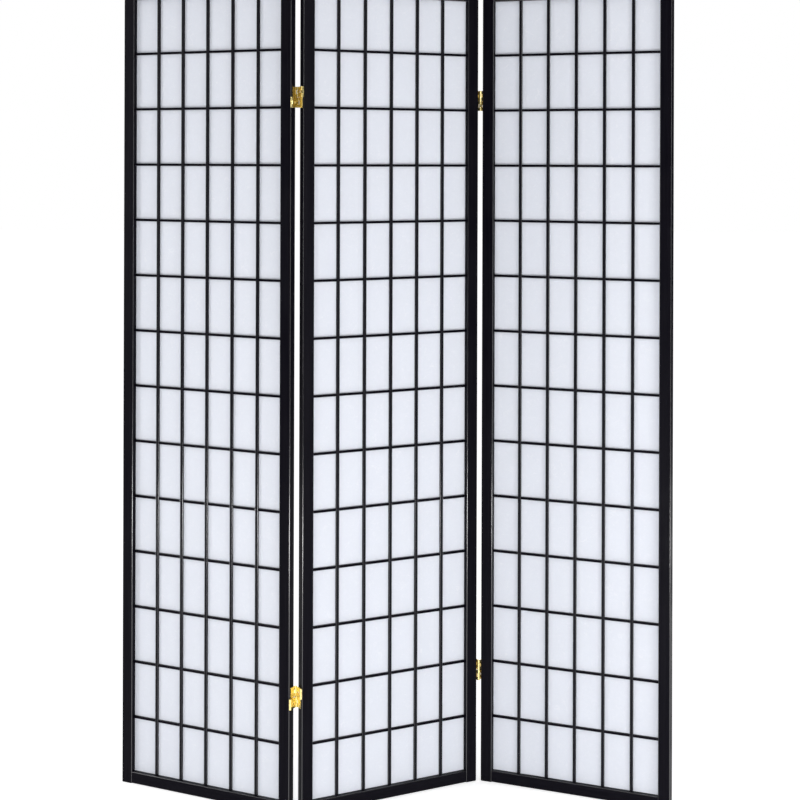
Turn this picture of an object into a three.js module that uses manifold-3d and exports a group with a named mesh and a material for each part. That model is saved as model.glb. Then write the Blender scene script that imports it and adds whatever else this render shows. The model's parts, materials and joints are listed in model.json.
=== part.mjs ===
// A three-panel shoji screen: black wooden frames with a half-lapped lattice and paper behind it,
// joined by double-action brass hinges that let each panel fold to the front or to the back.
// Units are millimetres, with +Z up. The front of the screen looks towards -Y, and it stands on Z = 0.

import * as THREE from "three";
import { mergeVertices } from "three/addons/utils/BufferGeometryUtils.js";
import Module from "manifold-3d";

// ---- Driving dimensions ----

// Panel frame
const PANEL_WIDTH = 438;
const PANEL_HEIGHT = 1784;
const PANEL_THICKNESS = 19;
const STILE_WIDTH = 26.5;
const RAIL_HEIGHT = 25.5;
const RAIL_SET_IN = 1; // the stiles reach this far past the rails, top and bottom
const EDGE_RADIUS = 1.6; // the eased long edges of the frame
const END_CHAMFER = 1;

// Mortise and tenon at each frame corner
const TENON_LENGTH = 18;
const TENON_THICKNESS = 6;
const TENON_SHOULDER = 4.5; // rail left above and below the tenon

// Lattice and paper
const COLUMNS = 6;
const ROWS = 14;
const UPRIGHT_BAR_WIDTH = 6.6;
const CROSS_BAR_HEIGHT = 5.4;
const LATTICE_DEPTH = 4.8;
const LATTICE_RECESS = 7.2; // from the front of the frame to the front of the lattice
const BAR_HOUSING = 4; // how far each bar's end is let into the frame
const REBATE_WIDTH = 5; // the ledge behind the lattice that the paper is glued to
const PAPER_THICKNESS = 0.4;

// Hinges
const PANEL_GAP = 8; // between the edges of two panels when the screen is straight
const PIN_STAND_OFF = 2.4; // from a face of the panel out to the pin's axis
const HINGE_HEIGHT = 45;
const HINGE_FROM_END = 250; // from each end of the panel to the middle of a hinge
const SHEET = 1.5; // brass sheet of the leaves
const LINK_SHEET = 1.6; // brass sheet of the links
const BARREL_RADIUS = 2.9;
const LEAF_SET_BACK = 4.6; // from a face of the panel to the edge of the leaf that has no knuckles
const LEAF_SEAM = -125; // degrees round a leaf's barrel to where its sheet ends
const LINK_SEAM = 0.25; // least gap between the end of a link's barrel and its web
const BEND_HANDLE = 0.4; // handles of the bend into a leaf's barrel, as a share of the barrel's radius
const PIN_RADIUS = 1.25;
const PIN_CHAMFER = 0.35;
const SCREW_HOLE_RADIUS = 1.7;
const COUNTERSINK_RADIUS = 3;
const SCREWDRIVER_HOLE_RADIUS = 3.4; // in a link, in front of the screw that it would hide

// Clearances
const SEAT = 0.3; // between two pieces that are fixed to each other
const RUNNING = 0.3; // round a pin, and between the knuckles on it
const WEB_RUNNING = 0.6; // between a link's web and the knuckles that turn past it

// How the screen stands, in degrees seen from above: anticlockwise is positive
const MIDDLE_TURN = 29.3;
const LEFT_FOLD = 56.9; // left panel, folded towards the back from straight
const RIGHT_FOLD = 53.6; // right panel, folded towards the front from straight

// Roundness
const EDGE_STEPS = 2;
const BARREL_STEPS = 9;
const BORE_STEPS = 7;
const BEND_STEPS = 2;
const PIN_SIDES = 8;
const HOLE_SIDES = 8;
const WELD = 0.0001; // points of one mesh that are nearer than this are the same point

// ---- Derived places ----

const OPENING_LEFT = STILE_WIDTH;
const OPENING_RIGHT = PANEL_WIDTH - STILE_WIDTH;
const OPENING_BOTTOM = RAIL_SET_IN + RAIL_HEIGHT;
const OPENING_TOP = PANEL_HEIGHT - OPENING_BOTTOM;
const LEDGE = LATTICE_RECESS + LATTICE_DEPTH; // depth of the rebate's ledge, flush with the lattice's back
const PAST = 1; // how far a cutter runs past the face that it cuts

const UPRIGHTS = barCentres(OPENING_LEFT, OPENING_RIGHT, COLUMNS, UPRIGHT_BAR_WIDTH);
const CROSSES = barCentres(OPENING_BOTTOM, OPENING_TOP, ROWS, CROSS_BAR_HEIGHT);

// In a hinge's own frame, x = 0 is the middle of the gap and y = 0 the middle of the thickness.
const PIN_OFFSET = PANEL_THICKNESS / 2 + PIN_STAND_OFF;
const LEAF_FACE = PANEL_GAP / 2 - SEAT; // from the gap's middle to the leaf's face on the panel
const LEAF_HALF_DEPTH = PIN_OFFSET - BARREL_RADIUS;
const BORE_RADIUS = PIN_RADIUS + RUNNING;
const HALF_HEIGHT = (HINGE_HEIGHT - RUNNING) / 2;
const KNUCKLE = (HALF_HEIGHT - 2 * RUNNING) / 3;

const wasm = await Module();
wasm.setup();

// ---- Materials ----

const lacquer = { color: 0x17171b, roughness: 0.42, metalness: 0 };
const paperSheet = { color: 0xe9ebf3, roughness: 0.9, metalness: 0 };
const brass = { color: 0xd8b04a, roughness: 0.28, metalness: 1 };

// ---- Shape tools ----

// Centres of the bars that divide low..high into equal clear cells.
function barCentres(low, high, cells, barSize) {
  const clear = (high - low - (cells - 1) * barSize) / cells;
  return Array.from({ length: cells - 1 }, (_, i) => low + (i + 1) * clear + (i + 0.5) * barSize);
}

function toSolid(geometry) {
  const bare = geometry.index ? geometry.toNonIndexed() : geometry.clone();
  bare.deleteAttribute("normal");
  bare.deleteAttribute("uv");
  const merged = mergeVertices(bare, WELD);
  const mesh = new wasm.Mesh({
    numProp: 3,
    vertProperties: merged.getAttribute("position").array,
    triVerts: new Uint32Array(merged.index.array),
  });
  return new wasm.Manifold(mesh);
}

function toGeometry(solid) {
  const mesh = solid.getMesh();
  const geometry = new THREE.BufferGeometry();
  geometry.setAttribute("position", new THREE.BufferAttribute(mesh.vertProperties, 3));
  geometry.setIndex(new THREE.BufferAttribute(mesh.triVerts, 1));
  const flat = geometry.toNonIndexed();
  flat.computeVertexNormals();
  return flat;
}

function block(low, high) {
  const size = high.map((value, i) => value - low[i]);
  const middle = high.map((value, i) => (value + low[i]) / 2);
  return toSolid(new THREE.BoxGeometry(...size).translate(...middle));
}

// An outline extruded straight up from one height to another.
function upright(outline, bottom, top) {
  const geometry = new THREE.ExtrudeGeometry(outline, {
    depth: top - bottom,
    bevelEnabled: false,
    curveSegments: EDGE_STEPS,
  });
  return toSolid(geometry.translate(0, 0, bottom));
}

function joined(solids) {
  return solids.reduce((whole, solid) => whole.add(solid));
}

function without(solid, cutters) {
  return cutters.reduce((rest, cutter) => rest.subtract(cutter), solid);
}

function easedRectangle(width, height, radius) {
  const outline = new THREE.Shape();
  const quarter = Math.PI / 2;
  outline.absarc(radius, radius, radius, 2 * quarter, 3 * quarter);
  outline.absarc(width - radius, radius, radius, 3 * quarter, 4 * quarter);
  outline.absarc(width - radius, height - radius, radius, 0, quarter);
  outline.absarc(radius, height - radius, radius, quarter, 2 * quarter);
  return outline;
}

function part(name, solid, finish) {
  const mesh = new THREE.Mesh(toGeometry(solid), new THREE.MeshStandardMaterial(finish));
  mesh.name = name;
  return mesh;
}

// ---- Panel frame: x across the panel, y from its front face to its back, z up ----

// The recess in the frame's back that takes the paper, as one cutter for all four members.
function rebateCutter() {
  return block(
    [OPENING_LEFT - REBATE_WIDTH, LEDGE, OPENING_BOTTOM - REBATE_WIDTH],
    [OPENING_RIGHT + REBATE_WIDTH, PANEL_THICKNESS + PAST, OPENING_TOP + REBATE_WIDTH],
  );
}

// The housings for the bars' ends, open to the ledge behind so that the lattice drops in from the back.
function housingCutters() {
  const front = LATTICE_RECESS - SEAT;
  const sideways = CROSSES.map((z) =>
    block(
      [OPENING_LEFT - BAR_HOUSING - SEAT, front, z - CROSS_BAR_HEIGHT / 2 - SEAT],
      [OPENING_RIGHT + BAR_HOUSING + SEAT, LEDGE + PAST, z + CROSS_BAR_HEIGHT / 2 + SEAT],
    ),
  );
  const endways = UPRIGHTS.map((x) =>
    block(
      [x - UPRIGHT_BAR_WIDTH / 2 - SEAT, front, OPENING_BOTTOM - BAR_HOUSING - SEAT],
      [x + UPRIGHT_BAR_WIDTH / 2 + SEAT, LEDGE + PAST, OPENING_TOP + BAR_HOUSING + SEAT],
    ),
  );
  return [...sideways, ...endways];
}

function railProfile() {
  return easedRectangle(PANEL_THICKNESS, RAIL_HEIGHT, EDGE_RADIUS);
}

// A rail's tenons run through it as one tongue; allowance widens it into the mortises' cutter.
function tongue(railBottom, allowance) {
  const middle = PANEL_THICKNESS / 2;
  return block(
    [
      OPENING_LEFT - TENON_LENGTH - allowance,
      middle - TENON_THICKNESS / 2 - allowance,
      railBottom + TENON_SHOULDER - allowance,
    ],
    [
      OPENING_RIGHT + TENON_LENGTH + allowance,
      middle + TENON_THICKNESS / 2 + allowance,
      railBottom + RAIL_HEIGHT - TENON_SHOULDER + allowance,
    ],
  );
}

function rail(railBottom, cutters) {
  const bar = new THREE.ExtrudeGeometry(railProfile(), {
    depth: OPENING_RIGHT - OPENING_LEFT - 2 * SEAT,
    bevelEnabled: false,
    curveSegments: EDGE_STEPS,
  });
  const acrossThePanel = new THREE.Matrix4().makeBasis(
    new THREE.Vector3(0, 1, 0),
    new THREE.Vector3(0, 0, 1),
    new THREE.Vector3(1, 0, 0),
  );
  bar.applyMatrix4(acrossThePanel).translate(OPENING_LEFT + SEAT, 0, railBottom);
  return without(toSolid(bar).add(tongue(railBottom, 0)), cutters);
}

function stile(left, cutters) {
  const geometry = new THREE.ExtrudeGeometry(easedRectangle(STILE_WIDTH, PANEL_THICKNESS, EDGE_RADIUS), {
    depth: PANEL_HEIGHT - 2 * END_CHAMFER,
    bevelEnabled: true,
    bevelThickness: END_CHAMFER,
    bevelSize: END_CHAMFER,
    bevelOffset: -END_CHAMFER,
    bevelSegments: 1,
    curveSegments: EDGE_STEPS,
  });
  geometry.translate(left, 0, END_CHAMFER);
  return without(toSolid(geometry), cutters);
}

// The half-lapped bars are glued flush with each other, so the lattice is one piece of even depth.
// Each bar runs on past the opening into its housings.
function lattice() {
  const uprights = UPRIGHTS.map((x) =>
    block(
      [x - UPRIGHT_BAR_WIDTH / 2, LATTICE_RECESS, OPENING_BOTTOM - BAR_HOUSING],
      [x + UPRIGHT_BAR_WIDTH / 2, LEDGE, OPENING_TOP + BAR_HOUSING],
    ),
  );
  const crosses = CROSSES.map((z) =>
    block(
      [OPENING_LEFT - BAR_HOUSING, LATTICE_RECESS, z - CROSS_BAR_HEIGHT / 2],
      [OPENING_RIGHT + BAR_HOUSING, LEDGE, z + CROSS_BAR_HEIGHT / 2],
    ),
  );
  return joined([...uprights, ...crosses]);
}

function paper() {
  const margin = REBATE_WIDTH - SEAT;
  return block(
    [OPENING_LEFT - margin, LEDGE + SEAT, OPENING_BOTTOM - margin],
    [OPENING_RIGHT + margin, LEDGE + SEAT + PAPER_THICKNESS, OPENING_TOP + margin],
  );
}

function panel(side) {
  const topRail = PANEL_HEIGHT - RAIL_SET_IN - RAIL_HEIGHT;
  const recesses = [rebateCutter(), ...housingCutters()];
  const mortises = [tongue(RAIL_SET_IN, SEAT), tongue(topRail, SEAT)];
  const group = new THREE.Group();
  group.add(
    part(`${side}_left_stile`, stile(0, [...recesses, ...mortises]), lacquer),
    part(`${side}_right_stile`, stile(OPENING_RIGHT, [...recesses, ...mortises]), lacquer),
    part(`${side}_bottom_rail`, rail(RAIL_SET_IN, recesses), lacquer),
    part(`${side}_top_rail`, rail(topRail, recesses), lacquer),
    part(`${side}_lattice`, lattice(), lacquer),
    part(`${side}_paper`, paper(), paperSheet),
  );
  return group;
}

// ---- Double-action hinge, in its own frame: x across the gap, y from front to back, z from its middle ----
// Each half holds a link with a front pin and a back pin. The top link joins the left-hand leaf's back
// knuckles to the right-hand leaf's front ones, and the bottom link crosses it the other way.

const KNUCKLE_NUMBERS = { low: 0, middle: 1, high: 2 };

// Bottom and top of one knuckle of the top half (half = 1) or of the bottom half (half = -1).
function knuckleSpan(half, place) {
  const halfBottom = half > 0 ? RUNNING / 2 : -RUNNING / 2 - HALF_HEIGHT;
  const bottom = halfBottom + KNUCKLE_NUMBERS[place] * (KNUCKLE + RUNNING);
  return [bottom, bottom + KNUCKLE];
}

// The section of a knuckle curled from a leaf that lies on the -x side and comes from -y,
// with the pin's axis at the origin: the sheet bends in, wraps round the bore and ends at a seam.
function leafKnuckle() {
  const faceX = -LEAF_FACE;
  const backX = faceX + SHEET;
  const embedded = -BARREL_RADIUS - SHEET;
  const start = Math.PI;
  const seam = THREE.MathUtils.degToRad(LEAF_SEAM);
  const handle = BEND_HANDLE * BARREL_RADIUS;
  const outerBend = new THREE.CubicBezierCurve(
    new THREE.Vector2(faceX, -BARREL_RADIUS),
    new THREE.Vector2(faceX, handle - BARREL_RADIUS),
    new THREE.Vector2(-BARREL_RADIUS, -handle),
    new THREE.Vector2(-BARREL_RADIUS, 0),
  );
  const outer = new THREE.EllipseCurve(0, 0, BARREL_RADIUS, BARREL_RADIUS, start, seam, true);
  const bore = new THREE.EllipseCurve(0, 0, BORE_RADIUS, BORE_RADIUS, seam, start, false);
  const innerBend = new THREE.CubicBezierCurve(
    new THREE.Vector2(-BORE_RADIUS, 0),
    new THREE.Vector2(-BORE_RADIUS, -handle),
    new THREE.Vector2(backX, handle - BARREL_RADIUS),
    new THREE.Vector2(backX, -BARREL_RADIUS),
  );
  return new THREE.Shape([
    new THREE.Vector2(faceX, embedded),
    ...outerBend.getPoints(BEND_STEPS).slice(0, -1),
    ...outer.getPoints(BARREL_STEPS),
    ...bore.getPoints(BORE_STEPS),
    ...innerBend.getPoints(BEND_STEPS).slice(1),
    new THREE.Vector2(backX, embedded),
  ]);
}

// The section of a link's knuckle: the web comes from -y in line with the pin, the sheet wraps round
// from its -x side, and the barrel's end stops a seam short of its +x side.
function linkKnuckle() {
  const half = LINK_SHEET / 2;
  const embedded = -BARREL_RADIUS - WEB_RUNNING - LINK_SHEET;
  const wrapStart = -Math.acos(-half / BARREL_RADIUS);
  const seam = -Math.acos((half + LINK_SEAM) / BORE_RADIUS);
  const boreEnd = -Math.acos(half / BORE_RADIUS);
  const outer = new THREE.EllipseCurve(0, 0, BARREL_RADIUS, BARREL_RADIUS, wrapStart, seam, true);
  const bore = new THREE.EllipseCurve(0, 0, BORE_RADIUS, BORE_RADIUS, seam, boreEnd, false);
  return new THREE.Shape([
    new THREE.Vector2(-half, embedded),
    ...outer.getPoints(BARREL_STEPS),
    ...bore.getPoints(BORE_STEPS),
    new THREE.Vector2(half, embedded),
  ]);
}

// A knuckle's solid on the front or back pin: the section is turned round for the front.
function knuckle(section, half, place, towards) {
  const [bottom, top] = knuckleSpan(half, place);
  const solid = upright(section, bottom, top);
  if (towards > 0) return solid.translate([0, PIN_OFFSET, 0]);
  return solid.mirror([0, 1, 0]).translate([0, -PIN_OFFSET, 0]);
}

function screwHole(half) {
  const middle = (half * (HALF_HEIGHT + RUNNING)) / 2;
  const depth = COUNTERSINK_RADIUS - SCREW_HOLE_RADIUS;
  const profile = [
    new THREE.Vector2(0, -SHEET - PAST),
    new THREE.Vector2(SCREW_HOLE_RADIUS, -SHEET - PAST),
    new THREE.Vector2(SCREW_HOLE_RADIUS, -depth),
    new THREE.Vector2(COUNTERSINK_RADIUS, 0),
    new THREE.Vector2(COUNTERSINK_RADIUS, PAST),
    new THREE.Vector2(0, PAST),
  ];
  const geometry = new THREE.LatheGeometry(profile, HOLE_SIDES);
  geometry.rotateZ(-Math.PI / 2).translate(-LEAF_FACE + SHEET, 0, middle);
  return toSolid(geometry);
}

// The leaf on the left-hand panel: its top half curls round the back pin, its bottom half round the front one.
function leaf() {
  const freeEdge = PANEL_THICKNESS / 2 - LEAF_SET_BACK;
  const topPlate = block(
    [-LEAF_FACE, -freeEdge, 0],
    [-LEAF_FACE + SHEET, LEAF_HALF_DEPTH, HINGE_HEIGHT / 2],
  );
  const bottomPlate = block(
    [-LEAF_FACE, -LEAF_HALF_DEPTH, -HINGE_HEIGHT / 2],
    [-LEAF_FACE + SHEET, freeEdge, 0],
  );
  const section = leafKnuckle();
  const knuckles = [1, -1].flatMap((half) => [
    knuckle(section, half, "low", half),
    knuckle(section, half, "high", half),
  ]);
  return without(joined([topPlate, bottomPlate, ...knuckles]), [screwHole(1), screwHole(-1)]);
}

// A link: a web in the gap between the leaves, with one knuckle on the front pin and one on the back pin.
function link(half) {
  const [bottom] = knuckleSpan(half, "low");
  const [, top] = knuckleSpan(half, "high");
  const depth = PIN_OFFSET - BARREL_RADIUS - WEB_RUNNING;
  const web = block([-LINK_SHEET / 2, -depth, bottom], [LINK_SHEET / 2, depth, top]);
  const section = linkKnuckle();
  const hole = new THREE.CylinderGeometry(
    SCREWDRIVER_HOLE_RADIUS,
    SCREWDRIVER_HOLE_RADIUS,
    LINK_SHEET + 2 * PAST,
    HOLE_SIDES,
  );
  hole.rotateZ(Math.PI / 2).translate(0, 0, (bottom + top) / 2);
  const whole = joined([web, knuckle(section, half, "middle", 1), knuckle(section, half, "middle", -1)]);
  return whole.subtract(toSolid(hole));
}

function pin(bottom, top, towards) {
  const profile = [
    new THREE.Vector2(0, bottom),
    new THREE.Vector2(PIN_RADIUS - PIN_CHAMFER, bottom),
    new THREE.Vector2(PIN_RADIUS, bottom + PIN_CHAMFER),
    new THREE.Vector2(PIN_RADIUS, top - PIN_CHAMFER),
    new THREE.Vector2(PIN_RADIUS - PIN_CHAMFER, top),
    new THREE.Vector2(0, top),
  ];
  const geometry = new THREE.LatheGeometry(profile, PIN_SIDES);
  geometry.rotateX(Math.PI / 2);
  return toSolid(geometry).translate([0, towards * PIN_OFFSET, 0]);
}

// A pin through all three knuckles of one half.
function wholePin(name, half, towards) {
  const [bottom] = knuckleSpan(half, "low");
  const [, top] = knuckleSpan(half, "high");
  return [part(name, pin(bottom, top, towards), brass)];
}

// The pin of the pivot that is left open: a stub in each of the leaf's knuckles, clear of the link's.
function stubPins(name, half, towards) {
  return [
    part(`${name}_upper_stub`, pin(...knuckleSpan(half, "high"), towards), brass),
    part(`${name}_lower_stub`, pin(...knuckleSpan(half, "low"), towards), brass),
  ];
}

// One hinge, as the pieces that ride on the left-hand panel, on the right-hand one and on each link.
// The outer panel's leaf is the one whose top pin is left open.
function hinge(name) {
  const outerIsLeft = name.startsWith("left");
  const [leftLeaf, rightLeaf] = outerIsLeft ? ["outer", "inner"] : ["inner", "outer"];
  const backPin = outerIsLeft ? stubPins : wholePin;
  const frontPin = outerIsLeft ? wholePin : stubPins;
  return {
    topLink: [part(`${name}_top_link`, link(1), brass)],
    bottomLink: [part(`${name}_bottom_link`, link(-1), brass)],
    onLeft: [
      part(`${name}_${leftLeaf}_leaf`, leaf(), brass),
      ...backPin(`${name}_top_back_pin`, 1, 1),
      ...wholePin(`${name}_bottom_front_pin`, -1, -1),
    ],
    onRight: [
      part(`${name}_${rightLeaf}_leaf`, leaf().rotate([0, 0, 180]), brass),
      ...frontPin(`${name}_top_front_pin`, 1, -1),
      ...wholePin(`${name}_bottom_back_pin`, -1, 1),
    ],
  };
}

// ---- Assembly ----

// Turns what it holds about the upright axis through (x, y).
function turnedAbout(name, x, y, degrees, ...held) {
  const axis = new THREE.Group();
  axis.name = name;
  axis.position.set(x, y, 0);
  axis.rotation.z = THREE.MathUtils.degToRad(degrees);
  const straight = new THREE.Group();
  straight.position.set(-x, -y, 0);
  straight.add(...held);
  axis.add(straight);
  return axis;
}

// Both hinges of one fold line, placed in the frame of the middle panel as they are when straight.
function foldLine(line, gapMiddle) {
  const levels = { upper: PANEL_HEIGHT - HINGE_FROM_END, lower: HINGE_FROM_END };
  const held = { onLeft: [], onRight: [], topLink: [], bottomLink: [] };
  for (const [level, height] of Object.entries(levels)) {
    for (const [kind, pieces] of Object.entries(hinge(`${line}_${level}_hinge`))) {
      pieces.forEach((piece) => piece.position.set(gapMiddle, PANEL_THICKNESS / 2, height));
      held[kind].push(...pieces);
    }
  }
  return held;
}

const FRONT_AXIS = -PIN_STAND_OFF;
const BACK_AXIS = PANEL_THICKNESS + PIN_STAND_OFF;
const LEFT_LINE = -PANEL_GAP / 2;
const RIGHT_LINE = PANEL_WIDTH + PANEL_GAP / 2;

const leftPanel = panel("left");
leftPanel.position.x = -PANEL_GAP - PANEL_WIDTH;
const rightPanel = panel("right");
rightPanel.position.x = PANEL_WIDTH + PANEL_GAP;
const left = foldLine("left", LEFT_LINE);
const right = foldLine("right", RIGHT_LINE);

// The left panel is folded back about the back pins and the right panel forward about the front pins,
// so each line's bottom links go with the outer panel and its top links stay with the middle one.
// From straight, each line can fold about its other pins instead, which takes the top links along.
const leftReverse = turnedAbout("left_reverse_axis", LEFT_LINE, FRONT_AXIS, 0, leftPanel, ...left.onLeft);
const rightReverse = turnedAbout("right_reverse_axis", RIGHT_LINE, BACK_AXIS, 0, rightPanel, ...right.onRight);
const middle = new THREE.Group();
middle.add(
  panel("middle"),
  ...left.onRight,
  ...right.onLeft,
  turnedAbout("left_top_links_axis", LEFT_LINE, FRONT_AXIS, 0, ...left.topLink),
  turnedAbout("right_top_links_axis", RIGHT_LINE, BACK_AXIS, 0, ...right.topLink),
  turnedAbout("left_fold_axis", LEFT_LINE, BACK_AXIS, -LEFT_FOLD, ...left.bottomLink, leftReverse),
  turnedAbout("right_fold_axis", RIGHT_LINE, FRONT_AXIS, -RIGHT_FOLD, ...right.bottomLink, rightReverse),
);
middle.rotation.z = THREE.MathUtils.degToRad(MIDDLE_TURN);

const screen = new THREE.Group();
screen.add(middle);

// The origin is the middle of the ground that the screen covers.
const covered = new THREE.Box3().setFromObject(screen, true).getCenter(new THREE.Vector3());
middle.position.set(-covered.x, -covered.y, 0);

export default screen;
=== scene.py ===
"""Shoji folding screen: its lacquer, paper, brass and fine pieces, and the studio that it stands in."""

import json
import math

import bpy
from mathutils import Matrix, Vector, noise

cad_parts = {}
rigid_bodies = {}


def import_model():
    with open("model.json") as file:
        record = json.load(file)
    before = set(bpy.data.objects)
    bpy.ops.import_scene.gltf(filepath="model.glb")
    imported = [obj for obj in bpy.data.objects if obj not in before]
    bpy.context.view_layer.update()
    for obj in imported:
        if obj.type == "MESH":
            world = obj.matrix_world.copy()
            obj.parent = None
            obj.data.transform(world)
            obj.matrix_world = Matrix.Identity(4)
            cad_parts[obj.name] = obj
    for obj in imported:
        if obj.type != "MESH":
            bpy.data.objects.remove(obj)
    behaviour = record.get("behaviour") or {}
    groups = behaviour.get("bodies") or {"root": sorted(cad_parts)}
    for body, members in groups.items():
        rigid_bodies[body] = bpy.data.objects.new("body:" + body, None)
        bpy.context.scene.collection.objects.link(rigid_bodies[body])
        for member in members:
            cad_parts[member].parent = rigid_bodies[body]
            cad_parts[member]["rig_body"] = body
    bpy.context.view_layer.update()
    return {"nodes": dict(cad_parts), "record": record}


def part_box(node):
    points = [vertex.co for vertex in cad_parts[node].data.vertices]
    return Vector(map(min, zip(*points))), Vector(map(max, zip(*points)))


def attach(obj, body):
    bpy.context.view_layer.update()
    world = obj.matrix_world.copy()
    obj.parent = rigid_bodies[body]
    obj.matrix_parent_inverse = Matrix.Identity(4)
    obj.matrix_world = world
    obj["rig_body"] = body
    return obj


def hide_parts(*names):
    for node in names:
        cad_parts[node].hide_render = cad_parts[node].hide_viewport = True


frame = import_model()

bl_info = {
    "name": "Shoji Folding Screen",
    "version": (1, 0, 0),
    "blender": (4, 5, 0),
    "location": "3D View > Sidebar > Shoji Screen",
    "description": "Dresses the frame of a three-panel shoji screen and sets up its studio",
    "category": "Object",
}

MM = 0.001
NODES = frame["nodes"]
SIDES = ("left", "middle", "right")

# ---- The screen's own sizes, in metres, as its frame has them ----

PANEL_WIDTH = 438 * MM
PANEL_HEIGHT = 1784 * MM
PANEL_THICKNESS = 19 * MM
STILE_WIDTH = 26.5 * MM
RAIL_HEIGHT = 25.5 * MM
RAIL_SET_IN = 1 * MM
COLUMNS = 6
ROWS = 14
UPRIGHT_BAR_WIDTH = 6.6 * MM
CROSS_BAR_HEIGHT = 5.4 * MM
LATTICE_FRONT = 7.2 * MM
LATTICE_BACK = 12 * MM
BAR_HOUSING = 4 * MM
PAPER_MARGIN = 4.7 * MM
PAPER_PLACE = 12.5 * MM
LEAF_SURFACE = 1.8 * MM  # from the panel's edge to the outer face of the leaf
HINGE_HEIGHTS = (250 * MM, 1534 * MM)
SCREW_RISE = 11.325 * MM  # from the middle of a hinge to each of a leaf's two screws
HINGED_EDGES = {"left": ("right",), "middle": ("left", "right"), "right": ("left",)}

OPENING_LEFT = STILE_WIDTH
OPENING_RIGHT = PANEL_WIDTH - STILE_WIDTH
OPENING_BOTTOM = RAIL_SET_IN + RAIL_HEIGHT
OPENING_TOP = PANEL_HEIGHT - OPENING_BOTTOM

# ---- Sizes of what the frame leaves out ----

PIN_RADIUS = 1.25 * MM
PIN_END_EASE = 0.35 * MM
SCREW_SHANK = 1.45 * MM  # radius
SCREW_RIM = 0.15 * MM  # depth of the upright rim of the head
SCREW_POINT = 4 * MM  # length of the tapered end
SCREW_TIP = 0.12 * MM  # radius
RECESS_DEPTH = 1.0 * MM
RECESS_WIDTH = 0.8 * MM
RECESS_LENGTH = 3.3 * MM
RECESS_FLOOR = (0.45, 0.7)  # length and width of the recess at the bottom, as a share of those at the top
RECESS_EASE = 0.07 * MM
SCREW_TURN = 53  # degrees from one screw's recess to the next one's
RIPPLE = 28  # how closely the paper's ripples follow each other, per metre

# ---- Tolerances of the modelling ----

CUT_PAST = 1 * MM
WELD = 0.01 * MM
FLAT_ANGLE = 0.4  # degrees between faces that are one flat face
SHARP_ANGLE = 30  # degrees between faces whose edge is eased
WOOD_SMOOTH, SHEET_SMOOTH, PIN_SMOOTH, SCREW_SMOOTH = 50, 38, 40, 35  # degrees that still shade smoothly

# ---- Finishes ----

FRAME_GLOSS, UPRIGHT_GLOSS, CROSS_BAR_GLOSS = 0.045, 0.12, 0.015
FRAME_FIGURE, LATTICE_FIGURE = 160.0, 260.0  # how fine the wood's grain is
SHEET_ROUGHNESS, WIRE_ROUGHNESS, SCREW_ROUGHNESS = 0.26, 0.3, 0.2
SHEET_BRUSHING, WIRE_BRUSHING, SCREW_BRUSHING = 0.12, 0.05, 1.0  # the lower, the longer the brush lines

# ---- Studio ----

FLOOR_SIZE = 60
FLOOR_GLOW = 0.6  # how much the floor gives off where it is seen, so that it reads white
ROOM_RADIUS, ROOM_HEIGHT = 4.4, 3.2
ROOM_OPENING = math.radians(34)  # half the angle of the opening behind the screen
SCREEN_MIDDLE = (0, 0, 0.85)
SCREEN_BOTTOM = (0, 0, 0.25)
SENSOR_WIDTH = 36  # millimetres


def bar_pitch(low, high, cells, bar):
    """Centre of the first bar between low and high, and the distance from one bar to the next."""
    clear = (high - low - (cells - 1) * bar) / cells
    return low + clear + bar / 2, clear + bar


FIRST_UPRIGHT, UPRIGHT_PITCH = bar_pitch(OPENING_LEFT, OPENING_RIGHT, COLUMNS, UPRIGHT_BAR_WIDTH)
FIRST_CROSS, CROSS_PITCH = bar_pitch(OPENING_BOTTOM, OPENING_TOP, ROWS, CROSS_BAR_HEIGHT)


def panel_place(side):
    """Matrix from a panel's own frame (x across, y front to back, z up) to the screen's, from its feet."""
    feet = {mount["name"]: Vector(mount["pos_m"]) for mount in frame["record"]["mounts"]}
    left = feet[f"{side}_panel_left_foot"]
    across = (feet[f"{side}_panel_right_foot"] - left).normalized()
    back = Vector((-across.y, across.x, 0))
    corner = left - across * STILE_WIDTH / 2 - back * PANEL_THICKNESS / 2
    turned = Matrix((across, back, (0, 0, 1))).transposed().to_4x4()
    return Matrix.Translation(corner) @ turned




# ---- What a user would change ----


class ShojiLatticeSettings(bpy.types.PropertyGroup):
    """The bars of the lattice."""

    ease: bpy.props.FloatProperty(
        name="Eased edge", description="Width of the small flat on each edge of a bar",
        default=0.35 * MM, min=0, unit="LENGTH", subtype="DISTANCE")
    lap_gap: bpy.props.FloatProperty(
        name="Lap joint", description="Gap on each side of a bar in the notch of the bar that it crosses",
        default=0.05 * MM, min=0, unit="LENGTH", subtype="DISTANCE")


class ShojiPaperSettings(bpy.types.PropertyGroup):
    """The paper behind the lattice."""

    thickness: bpy.props.FloatProperty(
        name="Thickness", description="Thickness of the sheet",
        default=0.16 * MM, min=0.01 * MM, unit="LENGTH", subtype="DISTANCE")
    cockle: bpy.props.FloatProperty(
        name="Cockle", description="How far the sheet swells back between the bars that it is glued to",
        default=0.22 * MM, min=0, unit="LENGTH", subtype="DISTANCE")
    mesh_step: bpy.props.FloatProperty(
        name="Mesh step", description="Side of one square of the sheet's mesh",
        default=8 * MM, min=2 * MM, unit="LENGTH", subtype="DISTANCE")
    colour: bpy.props.FloatVectorProperty(
        name="Paper", description="Colour of the pulp",
        default=(0.83, 0.855, 0.92), size=3, min=0, max=1, subtype="COLOR")
    fibre_colour: bpy.props.FloatVectorProperty(
        name="Fibres", description="Colour of the long fibres in the sheet",
        default=(0.93, 0.935, 0.97), size=3, min=0, max=1, subtype="COLOR")


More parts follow.
